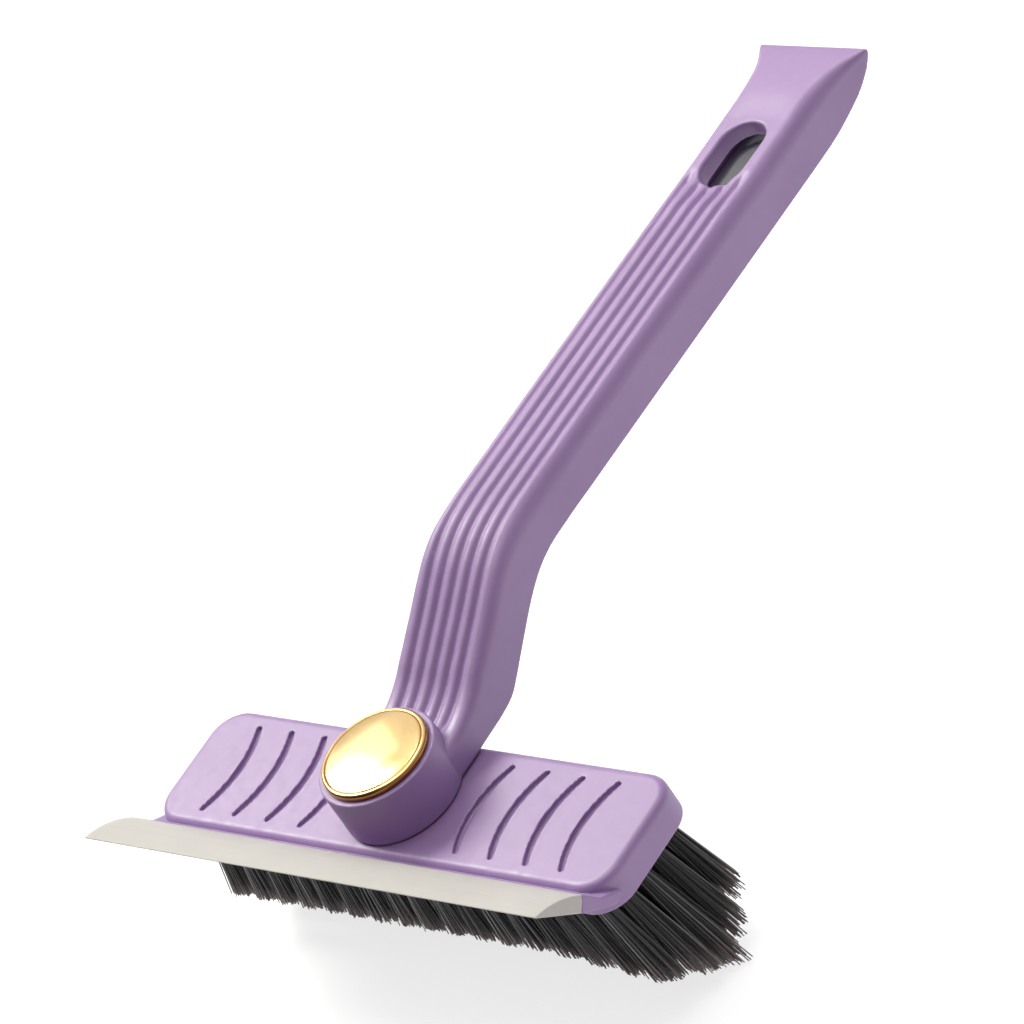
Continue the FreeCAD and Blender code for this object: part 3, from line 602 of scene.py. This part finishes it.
# ------------------------------------------------------------------ blade
def arc3(a, b, c, n):
    """n points on the circle through a, b, c, from a to c."""
    (x1, y1), (x2, y2), (x3, y3) = a, b, c
    d = 2 * (x1 * (y2 - y3) + x2 * (y3 - y1) + x3 * (y1 - y2))
    ux = ((x1**2 + y1**2) * (y2 - y3) + (x2**2 + y2**2) * (y3 - y1) + (x3**2 + y3**2) * (y1 - y2)) / d
    uy = ((x1**2 + y1**2) * (x3 - x2) + (x2**2 + y2**2) * (x1 - x3) + (x3**2 + y3**2) * (x2 - x1)) / d
    r = math.hypot(x1 - ux, y1 - uy)
    t0, t1, t2 = (math.atan2(p[1] - uy, p[0] - ux) for p in (a, b, c))
    while t1 - t0 > math.pi:
        t1 -= 2 * math.pi
    while t1 - t0 < -math.pi:
        t1 += 2 * math.pi
    while t2 - t1 > math.pi:
        t2 -= 2 * math.pi
    while t2 - t1 < -math.pi:
        t2 += 2 * math.pi
    t = np.linspace(t0, t2, n)
    return np.stack([ux + r * np.cos(t), uy + r * np.sin(t)], 1)


def blade():
    front = arc3((-20.98, 4.04), (-27.3, 9.1), (-33.95, 11.78), 26)
    edge = arc3((-33.97, 11.78), (-34.0, 11.55), (-33.88, 11.32), 5)[1:]
    back = np.linspace((-33.6, 11.02), (-23.78, 0.94), 22)
    tongue = np.array([(-23.16, 1.72), (-19.80, -1.90), (-18.25, -0.46), (-21.60, 3.13)])
    prof = np.vstack([front, edge, back, tongue])
    cen = np.array([-27.5, 6.4])
    xs = np.concatenate([[-72.5, -72.44, -72.28, -71.9, -69.22, -69.2], np.linspace(-69.0, 69.0, 93),
                         [69.2, 69.22, 71.9, 72.28, 72.44, 72.5]])
    inset = np.concatenate([[0.34, 0.16, 0.05, 0, 0, 0], np.zeros(93), [0, 0, 0, 0.05, 0.16, 0.34]])
    n = len(prof)
    tang = np.roll(prof, -1, 0) - np.roll(prof, 1, 0)
    nor = np.stack([tang[:, 1], -tang[:, 0]], 1)
    nor /= np.linalg.norm(nor, axis=1)[:, None]
    area = 0.5 * np.sum(prof[:, 0] * np.roll(prof[:, 1], -1) - np.roll(prof[:, 0], -1) * prof[:, 1])
    if area > 0:
        nor = -nor
    # nor points inwards now or outwards; make it inwards
    test = prof + nor * 0.01
    if np.linalg.norm(test - cen, axis=1).mean() > np.linalg.norm(prof - cen, axis=1).mean():
        nor = -nor
    thick = np.minimum(1.0, 0.25 + 0.06 * np.linalg.norm(prof - np.array([-34.0, 11.6]), axis=1))
    verts, faces = [], []
    for x, ins in zip(xs, inset):
        p = prof + nor * (ins * thick)[:, None]
        if abs(x) > 69.21:          # the tongue stops short of the flange's closed ends
            p[-3] = p[-4] + (p[-1] - p[-4]) * 0.33
            p[-2] = p[-4] + (p[-1] - p[-4]) * 0.66
        verts += [(x, a, b + FZ) for a, b in p]
    for i in range(len(xs) - 1):
        for j in range(n):
            a, b = i * n + j, i * n + (j + 1) % n
            faces.append((a, b, b + n, a + n))
    faces.append(tuple(range(n)))
    faces.append(tuple(reversed([(len(xs) - 1) * n + j for j in range(n)])))
    o = make_object("squeegee_rubber", verts, faces)
    bm = bmesh.new()
    bm.from_mesh(o.data)
    bmesh.ops.recalc_face_normals(bm, faces=bm.faces)
    for f in bm.faces:
        if len(f.verts) > 4:
            f.smooth = False
    bmesh.ops.triangulate(bm, faces=[f for f in bm.faces if len(f.verts) > 4])
    for e in bm.edges:
        if len(e.link_faces) == 2 and e.calc_face_angle() > math.radians(38):
            e.smooth = False
    bm.to_mesh(o.data)
    bm.free()
    return o


finish(blade(), M_RUBBER, "head", "wiper_rubber", "squeegee_blade")


# ------------------------------------------------------------------ cap
def cap():
    """Shallow domed disc with a rolled rim and a skirt, turned about the swivel axis."""
    R, zd, ht = 13.65, 16.4, 13.9
    outer = [(0.0, zd)]
    drop = zd - 15.62
    rad = (12.3**2 + drop**2) / (2 * drop)
    for q in np.linspace(0, 12.3, 46)[1:]:
        outer.append((q, zd - rad + math.sqrt(rad * rad - q * q)))
    outer += [(12.38, 15.56), (12.46, 15.50), (12.54, 15.50), (12.62, 15.55), (12.72, 15.58)]
    for a in np.linspace(72, 0, 8):
        outer.append((R - 0.95 + 0.95 * math.cos(math.radians(a)), 14.72 + 0.88 * math.sin(math.radians(a))))
    outer += [(R, 14.3), (R - 0.03, 14.05), (R - 0.2, ht), (12.95, ht), (12.95, 10.75), (12.7, 10.5),
              (11.95, 10.5), (11.75, 10.7), (11.75, 14.0), (11.5, 14.2), (0.0, 14.2)]
    n = 160
    verts, faces = [], []
    index = []
    for r, z in outer:
        if r < 1e-6:
            index.append([len(verts)] * n)
            verts.append((0, 0, z + FZ))
        else:
            index.append(list(range(len(verts), len(verts) + n)))
            verts += [(r * math.cos(2 * math.pi * k / n), r * math.sin(2 * math.pi * k / n), z + FZ) for k in range(n)]
    for i in range(len(outer) - 1):
        a, b = index[i], index[i + 1]
        for k in range(n):
            f = [a[k], b[k], b[(k + 1) % n], a[(k + 1) % n]]
            g = []
            for v in f:
                if v not in g:
                    g.append(v)
            if len(g) > 2:
                faces.append(tuple(g))
    o = make_object("gold_cap", verts, faces)
    bm = bmesh.new()
    bm.from_mesh(o.data)
    bmesh.ops.recalc_face_normals(bm, faces=bm.faces)
    for e in bm.edges:
        if len(e.link_faces) == 2 and e.calc_face_angle() > math.radians(40):
            e.smooth = False
    bm.to_mesh(o.data)
    bm.free()
    return o


finish(cap(), M_GOLD, "handle", "gold_plating", "hub_cap")


# ------------------------------------------------------------------ tongs
def tongs_field(x, y, z):
    z = z - FZ
    ax = np.abs(x)
    # outer U with a round top; legs thin towards the tips
    outer = np.where(y > 187.5, np.sqrt(x * x + (y - 187.5) ** 2) - 9.8, ax - 9.8)
    taper = np.clip((104.0 - y) / 24.5, 0, 1)
    taper = taper * taper * (3 - 2 * taper)
    outer = np.where(y < 104, ax - (9.8 - 0.95 * taper), outer)
    inner = np.where(y > 187.5, 7.4 - np.sqrt(x * x + (y - 187.5) ** 2), 7.4 + 0.35 * taper - ax)
    u = corner(outer, inner, 0.55)
    u = corner(u, 79.6 - y, 0.5)
    # oval ring between the legs
    ring = np.abs(stadium(x, y, 8.25, 4.3, 177.3)) - 0.85
    u = smin(u, ring, 0.7)
    hi = 22.4 - 0.5 * taper
    lo = 16.95 + 0.4 * taper
    d = corner(u, z - hi, 0.6)
    return corner(d, lo - z, 0.6)


tongs = mesh_field("tongs_body_piece", tongs_field, (-10.6, 78.6, FZ + 16.2), (10.6, 198.1, FZ + 23.1), 0.3)
finish(tongs, M_GREY_PAINTED_SHADE, "tongs", "grey_plastic", "tongs")


# ------------------------------------------------------------------ bristles
ROWS, PER_ROW, PITCH, ROW_PITCH = 5, 17, 7.6, 6.0
BLOCK_BACK = FZ - 3.2 - 0.1 - 5.0
EAVE_Y, EAVE_Z, RIDGE_Z = 13.4, FZ - 31.5, 0.0
ROOF = (EAVE_Z - RIDGE_Z) / EAVE_Y


def roof_at(x):
    """Slope of the trimmed V, a little flatter towards the +X end."""
    t = min(1.0, max(0.0, (x - 30.0) / 40.0))
    return ROOF * (1 - 0.24 * t * t * (3 - 2 * t))


def bristle_row(j, per=100):
    """One row: each tuft a few dozen bent filaments, trimmed to the V of the brush."""
    verts, faces, tips = [], [], []
    count = 0
    SIDES, RINGS = 4, 7
    for i in range(PER_ROW):
        x0 = (i - (PER_ROW - 1) / 2) * PITCH
        y0 = (j - (ROWS - 1) / 2) * ROW_PITCH
        f = x0 / ((PER_ROW - 1) / 2 * PITCH)
        lean = ((23.2 - 0.6 * (j - 2) ** 2) if x0 > 0 else 8.0) * math.copysign(abs(f) ** 1.15, f)
        side = 3.6 * (j - 2) / 2
        lean += RNG.normal(0, 0.4)
        base = np.array([math.tan(math.radians(lean)), math.tan(math.radians(side)), -1.0])
        base /= np.linalg.norm(base)
        ex = np.cross([0, 1, 0], base)
        ex /= np.linalg.norm(ex)
        ey = np.cross(base, ex)
        k = np.arange(per)
        rr = 1.32 * np.sqrt((k + 0.5) / per)
        aa = k * 2.39996 + RNG.uniform(0, 6.28)
        for q in range(per):
            a, b = rr[q] * math.cos(aa[q]), rr[q] * math.sin(aa[q])
            root = np.array([x0, y0, BLOCK_BACK]) + ex * a + ey * b - base * 2.2
            fan = (0.060 + RNG.normal(0, 0.010))
            spread = base + ex * (a * fan + RNG.normal(0, 0.011)) + ey * (b * fan * 0.9 + RNG.normal(0, 0.010))
            spread /= np.linalg.norm(spread)
            bend = ex * (-a * 0.0002 + RNG.normal(0, 0.00024)) + ey * (-b * 0.0002 + RNG.normal(0, 0.00022))
            # length to the trimming planes, always on their inner side
            lo_, hi_ = 5.0, 62.0
            short = abs(RNG.normal(0, 0.55)) + (RNG.uniform(0, 3.5) if RNG.random() < 0.05 else 0)
            for _ in range(24):
                m = (lo_ + hi_) / 2
                p = root + spread * m + bend * m * m
                if p[2] > RIDGE_Z + roof_at(p[0]) * abs(p[1]) + short:
                    lo_ = m
                else:
                    hi_ = m
            L = lo_
            t = np.linspace(0, L, RINGS)
            line = root + spread * t[:, None] + bend * (t * t)[:, None]
            rad = 0.205 - 0.055 * (t / L)
            u1 = np.cross(spread, [0.0, 1.0, 0.0])
            u1 /= np.linalg.norm(u1)
            u2 = np.cross(spread, u1)
            ph = RNG.uniform(0, 6.28)
            for ri in range(RINGS):
                for s in range(SIDES):
                    an = ph + 2 * math.pi * s / SIDES
                    verts.append(line[ri] + (u1 * math.cos(an) + u2 * math.sin(an)) * rad[ri])
                    tips.append(t[ri] / L)
            for ri in range(RINGS - 1):
                for s in range(SIDES):
                    a_, b_ = count + ri * SIDES + s, count + ri * SIDES + (s + 1) % SIDES
                    faces.append((a_, b_, b_ + SIDES, a_ + SIDES))
            faces.append(tuple(count + s for s in reversed(range(SIDES))))
            faces.append(tuple(count + (RINGS - 1) * SIDES + s for s in range(SIDES)))
            count += RINGS * SIDES
    o = make_object("bristle_tufts_%d" % (j + 1), np.array(verts), faces)
    at = o.data.attributes.new("tip", "FLOAT", "POINT")
    at.data.foreach_set("value", np.array(tips, np.float32))
    bm = bmesh.new()
    bm.from_mesh(o.data)
    bmesh.ops.recalc_face_normals(bm, faces=bm.faces)
    bm.to_mesh(o.data)
    bm.free()
    return o


for j in range(ROWS):
    finish(bristle_row(j), M_BRISTLE, "head", "black_bristle", "tuft_row_%d" % (j + 1))


# ------------------------------------------------------------------ carried CAD nodes
def dress(name, mat):
    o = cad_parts[name]
    if not o.material_slots:
        o.data.materials.append(mat)
    for s in o.material_slots:
        s.material = mat


dress("bristle_block", M_BLOCK)
dress("pivot_screw", M_ZINC)
dress("flat_washer", M_ZINC)
dress("wave_washer", M_SPRING)
for j in range(ROWS):
    dress("tuft_anchors_%d" % (j + 1), M_WIRE)


# ------------------------------------------------------------------ stage
def floor():
    bm = bmesh.new()
    bmesh.ops.create_grid(bm, x_segments=24, y_segments=24, size=2.4)
    me = bpy.data.meshes.new("floor")
    bm.to_mesh(me)
    bm.free()
    o = bpy.data.objects.new("floor", me)
    o.location = (0, 0, -0.0004)
    scene.collection.objects.link(o)
    m, nt, b = material("floor_pale")
    n = noise(nt, 3.0, 4.0, 0.5)
    cr = ramp(nt, n.outputs["Fac"], [(0.2, (0.39, 0.39, 0.39)), (0.8, (0.41, 0.41, 0.41))])
    nt.links.new(cr.outputs["Color"], b.inputs["Base Color"])
    b.inputs["Roughness"].default_value = 0.85
    b.inputs["Specular IOR Level"].default_value = 0.1
    b.inputs["Emission Color"].default_value = (1.0, 1.0, 1.0, 1.0)
    b.inputs["Emission Strength"].default_value = 0.76
    me.materials.append(m)


floor()
def studio():
    """Soft overhead dome, dim towards -Y, with a paler wall on +X."""
    w = bpy.data.worlds.new("studio")
    w.use_nodes = True
    nt = w.node_tree
    bg = nt.nodes["Background"]
    tc = nt.nodes.new("ShaderNodeTexCoord")
    sep = nt.nodes.new("ShaderNodeSeparateXYZ")
    nt.links.new(tc.outputs["Generated"], sep.inputs["Vector"])
    aim = nt.nodes.new("ShaderNodeVectorMath")
    aim.operation = "DOT_PRODUCT"
    nt.links.new(tc.outputs["Generated"], aim.inputs[0])
    aim.inputs[1].default_value = Vector((-0.52, 0.28, 0.81)).normalized()
    top = maprange(nt, aim.outputs["Value"], 0.10, 0.85, 0.0, 0.98)
    low = maprange(nt, sep.outputs["Z"], 0.22, 0.46, 0.30, 1.0)
    flag = maprange(nt, sep.outputs["Y"], -0.50, 0.02, 0.08, 1.0)
    side = maprange(nt, sep.outputs["X"], 0.20, 0.95, 0.0, 0.36)

    def op(kind, a, b):
        m = nt.nodes.new("ShaderNodeMath")
        m.operation = kind
        nt.links.new(a, m.inputs[0])
        if isinstance(b, float):
            m.inputs[1].default_value = b
        else:
            nt.links.new(b, m.inputs[1])
        return m.outputs[0]

    dome = op("MULTIPLY", op("MULTIPLY", top.outputs["Result"], low.outputs["Result"]), flag.outputs["Result"])
    total = op("ADD", op("ADD", dome, side.outputs["Result"]), 0.03)
    nt.links.new(total, bg.inputs["Strength"])
    bg.inputs["Color"].default_value = (1.0, 0.97, 1.02, 1.0)
    scene.world = w


studio()


def area(name, at, look, size, power, colour=(1, 1, 1), size_y=None):
    L = bpy.data.lights.new(name, "AREA")
    L.energy = power
    L.color = colour
    L.shape = "RECTANGLE"
    L.size = size
    L.size_y = size_y or size
    o = bpy.data.objects.new(name, L)
    o.location = at
    o.rotation_euler = (Vector(look) - Vector(at)).to_track_quat("-Z", "Y").to_euler()
    scene.collection.objects.link(o)
    return o


area("key", (-1.40, 0.30, 1.50), (0.0, 0.08, 0.06), 0.80, 37.0, (0.99, 1.04, 0.89))
area("overhead", (0.02, 0.12, 1.40), (0.0, 0.10, 0.05), 0.7, 5.0, (1.0, 1.03, 0.90))
area("glow", (-0.888, 0.428, 0.743), (0.0, 0.0, 0.058), 0.34, 0.36, (1.0, 0.98, 0.94))
tip = area("crest", (-0.45, 0.62, 1.00), (0.0, 0.200, 0.072), 0.3, 0.085, (1.0, 1.03, 0.90))
tip.data.spread = math.radians(22)

# camera at the viewing angle of the reference
cam = bpy.data.cameras.new("camera")
cam.sensor_width = 36.0
cam.lens = 213.6
cam.clip_start = 0.05
cam.clip_end = 20.0
co = bpy.data.objects.new("camera", cam)
right = Vector((0.7205, 0.5130, -0.4665)).normalized()
back = Vector((0.6884, -0.4489, 0.5697)).normalized()
up = back.cross(right).normalized()
right = up.cross(back).normalized()
rot = Matrix((right, up, back)).transposed().to_4x4()
co.matrix_world = Matrix.Translation(Vector((0.9657, -0.5619, 0.8216 + FZ / 1000))) @ rot
scene.collection.objects.link(co)
scene.camera = co
scene.view_settings.view_transform = "Standard"
scene.view_settings.look = "None"
scene.view_settings.exposure = 0.0
scene.view_settings.gamma = 1.0
